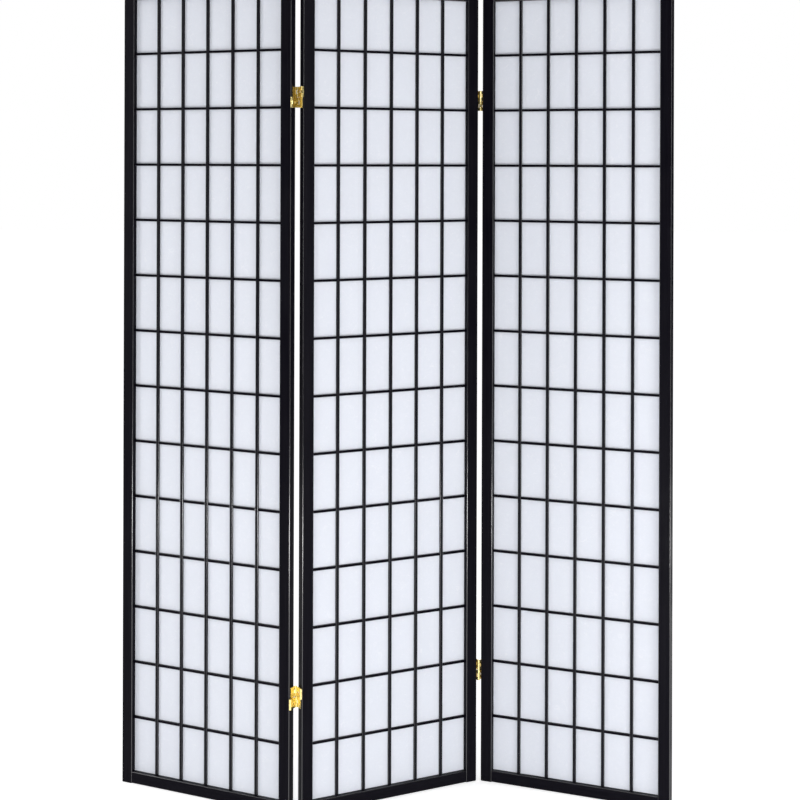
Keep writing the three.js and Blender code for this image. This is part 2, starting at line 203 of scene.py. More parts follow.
class ShojiLacquerSettings(bpy.types.PropertyGroup):
    """The black lacquer on the frame and the lattice."""

    colour: bpy.props.FloatVectorProperty(
        name="Lacquer", description="Colour of the lacquer",
        default=(0.0024, 0.0020, 0.0046), size=3, min=0, max=1, subtype="COLOR")
    thin_colour: bpy.props.FloatVectorProperty(
        name="Thin lacquer", description="Colour where the lacquer lies thin over the grain",
        default=(0.0058, 0.0052, 0.0082), size=3, min=0, max=1, subtype="COLOR")
    roughness: bpy.props.FloatProperty(
        name="Roughness", description="Roughness of the satin surface",
        default=0.33, min=0, max=1, subtype="FACTOR")
    burnish: bpy.props.FloatProperty(
        name="Burnish", description="How far handling has polished the eased edges",
        default=0.9, min=0, max=1, subtype="FACTOR")


class ShojiHingeSettings(bpy.types.PropertyGroup):
    """The brass hinges and their screws."""

    ease: bpy.props.FloatProperty(
        name="Eased edge", description="Width of the flat on the edges of the sheet brass",
        default=0.12 * MM, min=0, unit="LENGTH", subtype="DISTANCE")
    screw_head: bpy.props.FloatProperty(
        name="Screw head", description="Radius of a countersunk screw head",
        default=2.85 * MM, min=1 * MM, unit="LENGTH", subtype="DISTANCE")
    screw_length: bpy.props.FloatProperty(
        name="Screw length", description="Length of a screw, head and all",
        default=12 * MM, min=4 * MM, unit="LENGTH", subtype="DISTANCE")
    colour: bpy.props.FloatVectorProperty(
        name="Brass", description="Colour of the polished brass",
        default=(0.93, 0.78, 0.33), size=3, min=0, max=1, subtype="COLOR")
    dull_colour: bpy.props.FloatVectorProperty(
        name="Dull brass", description="Colour where the brass has dulled",
        default=(0.78, 0.55, 0.15), size=3, min=0, max=1, subtype="COLOR")


class ShojiStageSettings(bpy.types.PropertyGroup):
    """The floor, the lights and the camera."""

    ambient: bpy.props.FloatProperty(
        name="Ambient light", description="Strength of the light from all round",
        default=0.54, min=0)
    key_power: bpy.props.FloatProperty(
        name="Key light", description="Power of the tall softbox at the front right",
        default=31, min=0, unit="POWER")
    fill_power: bpy.props.FloatProperty(
        name="Fill light", description="Power of the softbox at the front left",
        default=5, min=0, unit="POWER")
    side_power: bpy.props.FloatProperty(
        name="Side light", description="Power of the softbox on the left",
        default=21, min=0, unit="POWER")
    low_power: bpy.props.FloatProperty(
        name="Low light", description="Power of the long light just above the floor, in front",
        default=23, min=0, unit="POWER")
    floor_colour: bpy.props.FloatVectorProperty(
        name="Floor", description="Colour of the studio floor",
        default=(0.86, 0.86, 0.87), size=3, min=0, max=1, subtype="COLOR")
    camera_place: bpy.props.FloatVectorProperty(
        name="Camera", description="Where the camera stands",
        default=(0.0142, -3.8209, 1.4002), size=3, unit="LENGTH", subtype="TRANSLATION")
    camera_roll: bpy.props.FloatProperty(
        name="Camera roll", description="How far the camera leans about its line of sight",
        default=0.003, unit="ROTATION", subtype="ANGLE")
    camera_lens: bpy.props.FloatProperty(
        name="Lens", description="Focal length of the camera, in millimetres",
        default=78.16, min=10)
    camera_shift: bpy.props.FloatProperty(
        name="Shift", description="How far the level camera's picture is moved down",
        default=-0.30)


# ---- Modelling tools ----


def only(*objects):
    """Selects these objects and nothing else, and makes the first one active."""
    bpy.ops.object.select_all(action="DESELECT")
    for thing in objects:
        thing.select_set(True)
    bpy.context.view_layer.objects.active = objects[0]


def finish_modifier(piece, kind, **settings):
    """Adds one modifier to a piece and applies it."""
    only(piece)
    modifier = piece.modifiers.new(kind.title(), kind)
    for key, value in settings.items():
        setattr(modifier, key, value)
    bpy.ops.object.modifier_apply(modifier=modifier.name)


def block(name, low, high):
    """A cube at its size and place, between two corners."""
    low, high = Vector(low), Vector(high)
    bpy.ops.object.select_all(action="DESELECT")
    bpy.ops.mesh.primitive_cube_add(size=1, location=(low + high) / 2)
    piece = bpy.context.object
    piece.name = name
    piece.scale = high - low
    bpy.ops.object.transform_apply(location=True, rotation=True, scale=True)
    return piece


def repeat(piece, count, step):
    """Copies a piece's mesh count times, one step apart."""
    finish_modifier(
        piece, "ARRAY", count=count, use_relative_offset=False,
        use_constant_offset=True, constant_offset_displace=Vector(step))


def cut(piece, cutter):
    """Takes the cutter's shape out of a piece and removes the cutter."""
    finish_modifier(piece, "BOOLEAN", operation="DIFFERENCE", solver="EXACT", object=cutter)
    bpy.data.objects.remove(cutter)


def ease_edges(piece, width, segments=1):
    """Rounds off the sharp edges of a piece."""
    finish_modifier(
        piece, "BEVEL", width=width, segments=segments, limit_method="ANGLE",
        angle_limit=math.radians(SHARP_ANGLE), use_clamp_overlap=True, harden_normals=False)


def smooth_faces(piece, angle):
    """Smooth shading over gentle bends, with the flat faces kept flat."""
    only(piece)
    bpy.ops.object.shade_smooth_by_angle(angle=math.radians(angle))
    finish_modifier(piece, "WEIGHTED_NORMAL", keep_sharp=True)


def edit_all(piece):
    """Opens a piece in edit mode with everything selected."""
    only(piece)
    bpy.ops.object.mode_set(mode="EDIT")
    bpy.ops.mesh.select_all(action="SELECT")


def put(piece, place):
    """Moves a piece's mesh and leaves its object at the origin."""
    piece.data.transform(place)
    piece.data.update()


def finish(piece, material, body):
    """Gives a piece its material and the body that it rides on."""
    piece.data.materials.clear()
    piece.data.materials.append(material)
    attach(piece, body)


# ---- Node tools ----


def add(tree, kind, values=None, **settings):
    """One node, with its settings and the values of its unlinked sockets."""
    node = tree.nodes.new(kind)
    for key, value in settings.items():
        setattr(node, key, value)
    for key, value in (values or {}).items():
        node.inputs[key].default_value = value
    return node


def wire(tree, *pairs):
    """Links (node, output) to (node, input), pair by pair."""
    for (source, output), (target, inlet) in pairs:
        tree.links.new(source.outputs[output], target.inputs[inlet])


def new_group(name, inputs, outputs):
    """A shader node group with named sockets, and its two end nodes."""
    tree = bpy.data.node_groups.new(name, "ShaderNodeTree")
    for label, kind, default in inputs:
        socket = tree.interface.new_socket(label, in_out="INPUT", socket_type=kind)
        if default is not None:
            socket.default_value = default
    for label, kind in outputs:
        tree.interface.new_socket(label, in_out="OUTPUT", socket_type=kind)
    return tree, tree.nodes.new("NodeGroupInput"), tree.nodes.new("NodeGroupOutput")


def place_group(tree, name, values=None):
    """A copy of a node group in a material, with its own values."""
    node = tree.nodes.new("ShaderNodeGroup")
    node.node_tree = bpy.data.node_groups[name]
    for key, value in (values or {}).items():
        node.inputs[key].default_value = value
    return node


def new_material(name, shader_values):
    """A material with one Principled BSDF, and that node."""
    material = bpy.data.materials.new(name)
    material.use_nodes = True
    shader = material.node_tree.nodes["Principled BSDF"]
    for key, value in shader_values.items():
        shader.inputs[key].default_value = value
    return material, material.node_tree, shader


def opaque(colour):
    """A colour property with its alpha."""
    return (*colour, 1.0)


# ---- Effects that several materials share ----


def build_fine_wear_group():
    """Faint cloudy smudges and thin scuffs, as handled lacquer and brass have."""
    tree, start, end = new_group(
        "Fine Wear",
        [("Vector", "NodeSocketVector", None), ("Smudge Size", "NodeSocketFloat", 18.0),
         ("Scuff Size", "NodeSocketFloat", 700.0)],
        [("Smudge", "NodeSocketFloat"), ("Scuff", "NodeSocketFloat")])
    smudge = add(tree, "ShaderNodeTexNoise", {"Detail": 5.0, "Roughness": 0.55})
    spread = add(
        tree, "ShaderNodeMapRange", {"From Min": 0.35, "From Max": 0.68}, interpolation_type="SMOOTHSTEP")
    scuff = add(tree, "ShaderNodeTexNoise", {"Detail": 3.0, "Roughness": 0.7, "Distortion": 0.8})
    sharpen = add(
        tree, "ShaderNodeMapRange", {"From Min": 0.58, "From Max": 0.74}, interpolation_type="SMOOTHSTEP")
    wire(
        tree,
        ((start, "Vector"), (smudge, "Vector")), ((start, "Smudge Size"), (smudge, "Scale")),
        ((smudge, "Fac"), (spread, "Value")), ((spread, "Result"), (end, "Smudge")),
        ((start, "Vector"), (scuff, "Vector")), ((start, "Scuff Size"), (scuff, "Scale")),
        ((scuff, "Fac"), (sharpen, "Value")), ((sharpen, "Result"), (end, "Scuff")))


def build_wood_grain_group():
    """Straight grain and open pores that still show under thin lacquer. The grain runs along z."""
    tree, start, end = new_group(
        "Wood Grain Under Lacquer",
        [("Vector", "NodeSocketVector", None), ("Figure", "NodeSocketFloat", 160.0),
         ("Pores", "NodeSocketFloat", 1500.0)],
        [("Grain", "NodeSocketFloat"), ("Pore", "NodeSocketFloat")])
    long_grain = add(tree, "ShaderNodeMapping", {"Scale": (1.0, 1.0, 0.03)}, vector_type="POINT")
    figure = add(tree, "ShaderNodeTexNoise", {"Detail": 6.0, "Roughness": 0.6, "Distortion": 0.4})
    even = add(tree, "ShaderNodeMapRange", {"From Min": 0.3, "From Max": 0.72})
    pore_line = add(tree, "ShaderNodeMapping", {"Scale": (1.0, 1.0, 0.06)}, vector_type="POINT")
    pore = add(tree, "ShaderNodeTexVoronoi", {"Randomness": 1.0})
    deepen = add(
        tree, "ShaderNodeMapRange", {"From Min": 0.05, "From Max": 0.34, "To Min": 1.0, "To Max": 0.0})
    wire(
        tree,
        ((start, "Vector"), (long_grain, "Vector")), ((long_grain, "Vector"), (figure, "Vector")),
        ((start, "Figure"), (figure, "Scale")), ((figure, "Fac"), (even, "Value")),
        ((even, "Result"), (end, "Grain")),
        ((start, "Vector"), (pore_line, "Vector")), ((pore_line, "Vector"), (pore, "Vector")),
        ((start, "Pores"), (pore, "Scale")), ((pore, "Distance"), (deepen, "Value")),
        ((deepen, "Result"), (end, "Pore")))


def build_paper_fibre_group():
    """Long curling fibres: the thin lines along which a warped noise crosses its middle value."""
    tree, start, end = new_group(
        "Paper Fibres",
        [("Vector", "NodeSocketVector", None), ("Size", "NodeSocketFloat", 40.0),
         ("Width", "NodeSocketFloat", 0.012)],
        [("Fibre", "NodeSocketFloat")])
    curl = add(tree, "ShaderNodeTexNoise", {"Detail": 2.0, "Roughness": 0.4, "Distortion": 1.6})
    centred = add(tree, "ShaderNodeMath", {1: 0.5}, operation="SUBTRACT")
    distance = add(tree, "ShaderNodeMath", operation="ABSOLUTE")
    thin = add(tree, "ShaderNodeMapRange", {"From Min": 0.0, "To Min": 1.0, "To Max": 0.0})
    patches = add(tree, "ShaderNodeTexNoise", {"Detail": 1.0})
    here = add(tree, "ShaderNodeMapRange", {"From Min": 0.46, "From Max": 0.6})
    some = add(tree, "ShaderNodeMath", operation="MULTIPLY")
    wire(
        tree,
        ((start, "Vector"), (curl, "Vector")), ((start, "Size"), (curl, "Scale")),
        ((curl, "Fac"), (centred, 0)), ((centred, 0), (distance, 0)),
        ((distance, 0), (thin, "Value")), ((start, "Width"), (thin, "From Max")),
        ((start, "Vector"), (patches, "Vector")), ((start, "Size"), (patches, "Scale")),
        ((patches, "Fac"), (here, "Value")),
        ((thin, "Result"), (some, 0)), ((here, "Result"), (some, 1)), ((some, 0), (end, "Fibre")))


def build_eased_edge_group():
    """Where the surface turns from one flat of a square bar to the next, by the normal in the bar's frame."""
    tree, start, end = new_group(
        "Eased Edge", [("Normal", "NodeSocketVector", None)], [("Edge", "NodeSocketFloat")])
    parts = add(tree, "ShaderNodeSeparateXYZ")
    sizes = [add(tree, "ShaderNodeMath", operation="ABSOLUTE") for _ in "XYZ"]
    larger = add(tree, "ShaderNodeMath", operation="MAXIMUM")
    largest = add(tree, "ShaderNodeMath", operation="MAXIMUM")
    turning = add(
        tree, "ShaderNodeMapRange", {"From Min": 0.995, "From Max": 0.93}, interpolation_type="SMOOTHSTEP")
    wire(
        tree, ((start, "Normal"), (parts, "Vector")),
        *[((parts, axis), (size, 0)) for axis, size in zip("XYZ", sizes)],
        ((sizes[0], 0), (larger, 0)), ((sizes[1], 0), (larger, 1)),
        ((larger, 0), (largest, 0)), ((sizes[2], 0), (largest, 1)),
        ((largest, 0), (turning, "Value")), ((turning, "Result"), (end, "Edge")))


# ---- Materials ----


def panel_coordinates(tree, side, grain_across):
    """A panel's own coordinates with z along the grain, and the normal in the panel's frame."""
    corner, turned, _ = panel_place(side).decompose()
    turn = turned.to_euler()
    given = add(tree, "ShaderNodeTexCoord")
    square = add(tree, "ShaderNodeMapping", {"Location": corner, "Rotation": turn}, vector_type="TEXTURE")
    normal = add(tree, "ShaderNodeMapping", {"Rotation": turn}, vector_type="TEXTURE")
    along = add(tree, "ShaderNodeMapping", {
        "Location": (SIDES.index(side) * PANEL_WIDTH * 3, 0, 0),
        "Rotation": (0, math.pi / 2 if grain_across else 0, 0)}, vector_type="POINT")
    wire(
        tree, ((given, "Object"), (square, "Vector")), ((square, "Vector"), (along, "Vector")),
        ((given, "Normal"), (normal, "Vector")))
    return along, normal


def lacquer_material(name, side, grain_across, settings, figure, gloss):
    """Satin black lacquer: near black, a little thinner along the grain, polished on its eased edges."""
    material, tree, shader = new_material(
        name, {"Specular IOR Level": gloss, "IOR": 1.5, "Coat Roughness": 0.16, "Coat IOR": 2.0})
    vector, normal = panel_coordinates(tree, side, grain_across)
    edge = place_group(tree, "Eased Edge")
    polish = add(tree, "ShaderNodeMath", {1: settings.burnish}, operation="MULTIPLY")
    grain = place_group(tree, "Wood Grain Under Lacquer", {"Figure": figure})
    wear = place_group(tree, "Fine Wear", {"Smudge Size": 11.0, "Scuff Size": 420.0})
    tone = add(
        tree, "ShaderNodeMix", {"A": opaque(settings.colour), "B": opaque(settings.thin_colour)},
        data_type="RGBA")
    satin = add(tree, "ShaderNodeMapRange", {
        "To Min": settings.roughness - 0.05, "To Max": settings.roughness + 0.12})
    rub = add(tree, "ShaderNodeMath", {1: 0.08, 2: 0.0}, operation="MULTIPLY_ADD")
    relief = add(tree, "ShaderNodeMath", {1: -0.6}, operation="MULTIPLY_ADD")
    bump = add(tree, "ShaderNodeBump", {"Strength": 0.35, "Distance": 0.06 * MM})
    wire(
        tree,
        ((normal, "Vector"), (edge, "Normal")), ((edge, "Edge"), (polish, 0)),
        ((polish, 0), (shader, "Coat Weight")),
        ((vector, "Vector"), (grain, "Vector")), ((vector, "Vector"), (wear, "Vector")),
        ((grain, "Grain"), (tone, "Factor")), ((tone, "Result"), (shader, "Base Color")),
        ((wear, "Smudge"), (satin, "Value")), ((wear, "Scuff"), (rub, 0)),
        ((satin, "Result"), (rub, 2)), ((rub, 0), (shader, "Roughness")),
        ((grain, "Pore"), (relief, 0)), ((grain, "Grain"), (relief, 2)),
        ((relief, 0), (bump, "Height")), ((bump, "Normal"), (shader, "Normal")))
    return material


def paper_material(name, side, settings):
    """Shoji paper: cloudy off-white pulp with pale curling fibres, and some light coming through."""
    material, tree, shader = new_material(
        name, {"Specular IOR Level": 0.12, "Transmission Weight": 0.18, "IOR": 1.25})
    vector, _ = panel_coordinates(tree, side, False)
    pulp = add(tree, "ShaderNodeTexNoise", {"Scale": 150.0, "Detail": 6.0, "Roughness": 0.66})
    clouds = add(tree, "ShaderNodeTexNoise", {"Scale": 9.0, "Detail": 3.0})
    long_fibre = place_group(tree, "Paper Fibres", {"Size": 26.0, "Width": 0.010})
    short_fibre = place_group(tree, "Paper Fibres", {"Size": 75.0, "Width": 0.022})
    fibres = add(tree, "ShaderNodeMath", operation="MAXIMUM")
    dense = tuple(channel * 0.92 for channel in settings.colour)
    mottle = add(
        tree, "ShaderNodeMix", {"A": opaque(dense), "B": opaque(settings.colour)}, data_type="RGBA")
    tint = add(tree, "ShaderNodeMix", {"B": opaque(settings.fibre_colour)}, data_type="RGBA")
    share = add(tree, "ShaderNodeMath", {1: 0.45}, operation="MULTIPLY")
    both = add(tree, "ShaderNodeMath", {1: 0.65}, operation="MULTIPLY_ADD")
    part = add(tree, "ShaderNodeMath", {1: 0.35}, operation="MULTIPLY")
    tooth = add(tree, "ShaderNodeMapRange", {"To Min": 0.78, "To Max": 0.95})
    height = add(tree, "ShaderNodeMath", {1: 1.2}, operation="MULTIPLY_ADD")
    bump = add(tree, "ShaderNodeBump", {"Strength": 0.35, "Distance": 0.05 * MM})
    wire(
        tree,
        *[((vector, "Vector"), (node, "Vector")) for node in (pulp, clouds, long_fibre, short_fibre)],
        ((clouds, "Fac"), (part, 0)), ((pulp, "Fac"), (both, 0)), ((part, 0), (both, 2)),
        ((both, 0), (mottle, "Factor")), ((mottle, "Result"), (tint, "A")),
        ((long_fibre, "Fibre"), (fibres, 0)), ((short_fibre, "Fibre"), (fibres, 1)),
        ((fibres, 0), (share, 0)), ((share, 0), (tint, "Factor")),
        ((tint, "Result"), (shader, "Base Color")),
        ((pulp, "Fac"), (tooth, "Value")), ((tooth, "Result"), (shader, "Roughness")),
        ((fibres, 0), (height, 0)), ((pulp, "Fac"), (height, 2)),
        ((height, 0), (bump, "Height")), ((bump, "Normal"), (shader, "Normal")))
    return material


def brass_material(name, settings, roughness, brushed):
    """Polished brass, brushed along z, a little dulled in clouds and scuffed."""
    material, tree, shader = new_material(
        name, {"Metallic": 1.0, "Coat Weight": 0.35, "Coat Roughness": 0.12})
    coordinates = add(tree, "ShaderNodeTexCoord")
    stroke = add(tree, "ShaderNodeMapping", {"Scale": (1.0, 1.0, brushed)}, vector_type="POINT")
    lines = add(tree, "ShaderNodeTexNoise", {"Scale": 2600.0, "Detail": 2.0})
    wear = place_group(tree, "Fine Wear", {"Smudge Size": 130.0, "Scuff Size": 1500.0})
    dulled = add(tree, "ShaderNodeMath", {1: 0.3}, operation="MULTIPLY")
    tone = add(
        tree, "ShaderNodeMix", {"A": opaque(settings.colour), "B": opaque(settings.dull_colour)},
        data_type="RGBA")
    matt = add(tree, "ShaderNodeMapRange", {"To Min": roughness, "To Max": roughness + 0.12})
    bump = add(tree, "ShaderNodeBump", {"Strength": 0.18, "Distance": 0.02 * MM})
    wire(
        tree,
        ((coordinates, "Object"), (stroke, "Vector")), ((stroke, "Vector"), (lines, "Vector")),
        ((coordinates, "Object"), (wear, "Vector")), ((wear, "Smudge"), (dulled, 0)),
        ((dulled, 0), (tone, "Factor")), ((tone, "Result"), (shader, "Base Color")),
        ((wear, "Scuff"), (matt, "Value")), ((matt, "Result"), (shader, "Roughness")),
        ((lines, "Fac"), (bump, "Height")), ((bump, "Normal"), (shader, "Normal")))
    return material


# ---- The frame's members and the hinges: the CAD's own shapes, merged and smoothed ----


def refined_copy(node, ending, smooth_angle, ease=0.0):
    """A merged copy of a CAD node that replaces it, so that its bends shade smoothly."""
    source = NODES[node]
    piece = bpy.data.objects.new(f"{node}_{ending}", source.data.copy())
    bpy.context.scene.collection.objects.link(piece)
    edit_all(piece)
    bpy.ops.mesh.customdata_custom_splitnormals_clear()
    bpy.ops.mesh.remove_doubles(threshold=WELD)
    bpy.ops.mesh.dissolve_limited(angle_limit=math.radians(FLAT_ANGLE))
    bpy.ops.object.mode_set(mode="OBJECT")
    if ease:
        ease_edges(piece, ease)
        edit_all(piece)
        bpy.ops.mesh.remove_doubles(threshold=WELD)
        bpy.ops.mesh.dissolve_degenerate(threshold=WELD)
        bpy.ops.object.mode_set(mode="OBJECT")
    smooth_faces(piece, smooth_angle)
    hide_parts(node)
    return piece, source["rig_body"]


class SHOJI_OT_frame_members(bpy.types.Operator):
    """Lacquers the stiles and rails of the three panels"""

    bl_idname = "shoji.frame_members"
    bl_label = "Stiles and Rails"

    def execute(self, context):
        settings = context.scene.shoji_lacquer
        for side in SIDES:
            standing = lacquer_material(
                f"Lacquered Stile {side.title()}", side, False, settings, FRAME_FIGURE, FRAME_GLOSS)
            lying = lacquer_material(
                f"Lacquered Rail {side.title()}", side, True, settings, FRAME_FIGURE, FRAME_GLOSS)
            for member, material in (
                ("left_stile", standing), ("right_stile", standing),
                ("bottom_rail", lying), ("top_rail", lying),
            ):
                piece, body = refined_copy(f"{side}_{member}", "lacquered", WOOD_SMOOTH)
                finish(piece, material, body)
        return {"FINISHED"}


# ---- Lattice ----


def notched_bar(name, low, high, notch_low, notch_high, count, step, ease):
    """A bar with a row of half-lap notches, and its edges eased."""
    bar = block(name, low, high)
    notches = block("notches", notch_low, notch_high)
    repeat(notches, count, step)
    cut(bar, notches)
    ease_edges(bar, ease)
    return bar


def lattice_uprights(settings):
    """The upright bars, whole on the front and notched at the back for each cross bar."""
    half, lap = UPRIGHT_BAR_WIDTH / 2, CROSS_BAR_HEIGHT / 2 + settings.lap_gap
    middle = (LATTICE_FRONT + LATTICE_BACK) / 2
    bars = notched_bar(
        "uprights",
        (FIRST_UPRIGHT - half, LATTICE_FRONT, OPENING_BOTTOM - BAR_HOUSING),
        (FIRST_UPRIGHT + half, LATTICE_BACK, OPENING_TOP + BAR_HOUSING),
        (FIRST_UPRIGHT - half - CUT_PAST, middle - settings.lap_gap, FIRST_CROSS - lap),
        (FIRST_UPRIGHT + half + CUT_PAST, LATTICE_BACK + CUT_PAST, FIRST_CROSS + lap),
        ROWS - 1, (0, 0, CROSS_PITCH), settings.ease)
    repeat(bars, COLUMNS - 1, (UPRIGHT_PITCH, 0, 0))
    return bars


def lattice_cross_bars(settings):
    """The cross bars, whole at the back and notched on the front for each upright."""
    half, lap = CROSS_BAR_HEIGHT / 2, UPRIGHT_BAR_WIDTH / 2 + settings.lap_gap
    middle = (LATTICE_FRONT + LATTICE_BACK) / 2
    bars = notched_bar(
        "cross_bars",
        (OPENING_LEFT - BAR_HOUSING, LATTICE_FRONT, FIRST_CROSS - half),
        (OPENING_RIGHT + BAR_HOUSING, LATTICE_BACK, FIRST_CROSS + half),
        (FIRST_UPRIGHT - lap, LATTICE_FRONT - CUT_PAST, FIRST_CROSS - half - CUT_PAST),
        (FIRST_UPRIGHT + lap, middle + settings.lap_gap, FIRST_CROSS + half + CUT_PAST),
        COLUMNS - 1, (UPRIGHT_PITCH, 0, 0), settings.ease)
    repeat(bars, ROWS - 1, (0, 0, CROSS_PITCH))
    return bars


def copy_in_place(piece, name, place):
    """A copy of a piece with its own mesh, moved to where it belongs."""
    copy = bpy.data.objects.new(name, piece.data.copy())
    bpy.context.scene.collection.objects.link(copy)
    put(copy, place)
    return copy


class SHOJI_OT_lattices(bpy.types.Operator):
    """Builds the half-lapped lattice once and sets a copy in each panel"""

    bl_idname = "shoji.lattices"
    bl_label = "Lattices"

    def execute(self, context):
        settings = context.scene.shoji_lattice
        lacquer = context.scene.shoji_lacquer
        kinds = {
            "uprights": (lattice_uprights(settings), False, UPRIGHT_GLOSS),
            "cross_bars": (lattice_cross_bars(settings), True, CROSS_BAR_GLOSS),
        }
        for side in SIDES:
            for kind, (pattern, grain_across, gloss) in kinds.items():
                piece = copy_in_place(pattern, f"{side}_lattice_{kind}", panel_place(side))
                material = lacquer_material(
                    f"Lacquered {kind.replace('_', ' ').title()} {side.title()}",
                    side, grain_across, lacquer, LATTICE_FIGURE, gloss)
                finish(piece, material, f"{side}_panel")
                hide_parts(f"{side}_lattice")
        for pattern, *_ in kinds.values():
            bpy.data.objects.remove(pattern)
        return {"FINISHED"}


# ---- Paper ----


def between_bars(value, first, pitch, low, high):
    """0 on a bar or on the frame, where the paper is glued, up to 1 half way between two bars."""
    if not low < value < high:
        return 0.0
    return math.sin(math.pi * (value - first) / pitch) ** 2


def cockled_sheet(name, settings):
    """A fine grid the size of the sheet, swollen back a little between the bars, with its thickness."""
    low = Vector((OPENING_LEFT - PAPER_MARGIN, PAPER_PLACE, OPENING_BOTTOM - PAPER_MARGIN))
    high = Vector((OPENING_RIGHT + PAPER_MARGIN, PAPER_PLACE, OPENING_TOP + PAPER_MARGIN))
    size = high - low
    bpy.ops.object.select_all(action="DESELECT")
    bpy.ops.mesh.primitive_grid_add(
        x_subdivisions=round(size.x / settings.mesh_step),
        y_subdivisions=round(size.z / settings.mesh_step),
        size=1, location=(low + high) / 2, rotation=(math.pi / 2, 0, 0))
    sheet = bpy.context.object
    sheet.name = name
    sheet.scale = (size.x, size.z, 1)
    bpy.ops.object.transform_apply(location=True, rotation=True, scale=True)
    for vertex in sheet.data.vertices:
        x, _, z = vertex.co
        loose = between_bars(x, FIRST_UPRIGHT, UPRIGHT_PITCH, OPENING_LEFT, OPENING_RIGHT)
        loose *= between_bars(z, FIRST_CROSS, CROSS_PITCH, OPENING_BOTTOM, OPENING_TOP)
        ripple = 0.5 + 0.5 * noise.noise(Vector((x, 0, z)) * RIPPLE)
        vertex.co.y += settings.cockle * loose * ripple
    finish_modifier(sheet, "SOLIDIFY", thickness=settings.thickness, offset=0)
    smooth_faces(sheet, WOOD_SMOOTH)
    return sheet, (size.x, size.z)


class SHOJI_OT_papers(bpy.types.Operator):
    """Makes the sheet of paper once and glues a copy behind each lattice"""

    bl_idname = "shoji.papers"
    bl_label = "Paper"

    def execute(self, context):
        settings = context.scene.shoji_paper
        pattern, flat = cockled_sheet("paper_pattern", settings)
        for side in SIDES:
            sheet = copy_in_place(pattern, f"{side}_paper_sheet", panel_place(side))
            material = paper_material(f"Shoji Paper {side.title()}", side, settings)
            finish(sheet, material, f"{side}_panel")
            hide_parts(f"{side}_paper")
        bpy.data.objects.remove(pattern)
        return {"FINISHED"}


# ---- Hinges ----


def domed_pin(node):
    """A round pin with eased ends, where the CAD's pin is."""
    low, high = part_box(node)
    bpy.ops.object.select_all(action="DESELECT")
    bpy.ops.mesh.primitive_cylinder_add(
        vertices=28, radius=PIN_RADIUS, depth=high.z - low.z, location=(low + high) / 2)
    piece = bpy.context.object
    piece.name = f"{node}_brass"
    bpy.ops.object.transform_apply(location=True, rotation=True, scale=True)
    ease_edges(piece, PIN_END_EASE, 3)
    smooth_faces(piece, PIN_SMOOTH)
    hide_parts(node)
    return piece, NODES[node]["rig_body"]


class SHOJI_OT_hinges(bpy.types.Operator):
    """Polishes the leaves and links, and rounds the pins"""

    bl_idname = "shoji.hinges"
    bl_label = "Hinges"

    def execute(self, context):
        settings = context.scene.shoji_hinge
        sheet = brass_material("Polished Brass Sheet", settings, SHEET_ROUGHNESS, SHEET_BRUSHING)
        wire_brass = brass_material("Drawn Brass Wire", settings, WIRE_ROUGHNESS, WIRE_BRUSHING)
        for node in sorted(name for name in NODES if "_hinge_" in name):
            if "_pin" in node:
                piece, body = domed_pin(node)
                finish(piece, wire_brass, body)
            else:
                piece, body = refined_copy(node, "brass", SHEET_SMOOTH, settings.ease)
                finish(piece, sheet, body)
        return {"FINISHED"}


# ---- Screws ----


def cross_recess():
    """The cutter of a cross recess: two crossing wedges that narrow downwards."""
    half_length, half_width = RECESS_LENGTH / 2, RECESS_WIDTH / 2
    floor_length, floor_width = RECESS_FLOOR
    arms = []
    for turn in (0, math.pi / 2):
        arm = block("arm", (-half_length, -half_width, -RECESS_DEPTH), (half_length, half_width, CUT_PAST))
        for vertex in arm.data.vertices:
            if vertex.co.z < 0:
                vertex.co.x *= floor_length
                vertex.co.y *= floor_width
        arm.rotation_euler.z = turn
        only(arm)
        bpy.ops.object.transform_apply(location=True, rotation=True, scale=True)
        arms.append(arm)
    return arms


def countersunk_screw(settings):
    """A countersunk wood screw with its head's top at z = 0 and its point down."""
    head = settings.screw_head
    head_depth = head - SCREW_SHANK
    bpy.ops.object.select_all(action="DESELECT")
    bpy.ops.mesh.primitive_circle_add(vertices=32, radius=head, fill_type="NGON")
    screw = bpy.context.object
    screw.name = "screw_pattern"
    edit_all(screw)
    steps = (
        (SCREW_RIM, head), (head_depth, SCREW_SHANK),
        (settings.screw_length - SCREW_POINT, SCREW_SHANK), (settings.screw_length, SCREW_TIP))
    depth, radius = 0.0, head
    for next_depth, next_radius in steps:
        bpy.ops.mesh.extrude_region_move(TRANSFORM_OT_translate={"value": (0, 0, depth - next_depth)})
        scale = next_radius / radius
        bpy.ops.transform.resize(value=(scale, scale, 1), center_override=(0, 0, -next_depth))
        depth, radius = next_depth, next_radius
    bpy.ops.object.mode_set(mode="OBJECT")
    close_top(screw)
    for arm in cross_recess():
        cut(screw, arm)
    ease_edges(screw, RECESS_EASE)
    smooth_faces(screw, SCREW_SMOOTH)
    return screw


def close_top(screw):
    """Fills the ring that the first extrusion left open at the top, and turns every face outwards."""
    only(screw)
    bpy.ops.object.mode_set(mode="EDIT")
    bpy.ops.mesh.select_all(action="DESELECT")
    bpy.ops.mesh.select_non_manifold()
    bpy.ops.mesh.edge_face_add()
    bpy.ops.mesh.select_all(action="SELECT")
    bpy.ops.mesh.normals_make_consistent(inside=False)
    bpy.ops.object.mode_set(mode="OBJECT")


def screw_places(side):
    """Name and place, in a panel's frame, of each screw head on its hinged edges."""
    for edge in HINGED_EDGES[side]:
        outward = 1 if edge == "right" else -1
        x = PANEL_WIDTH + LEAF_SURFACE if edge == "right" else -LEAF_SURFACE
        for level, height in zip(("lower", "upper"), HINGE_HEIGHTS):
            for rise, row in ((-SCREW_RISE, "bottom"), (SCREW_RISE, "top")):
                place = Matrix.Translation((x, PANEL_THICKNESS / 2, height + rise))
                yield f"{side}_{edge}_{level}_{row}_screw", place @ Matrix.Rotation(
                    outward * math.pi / 2, 4, "Y")


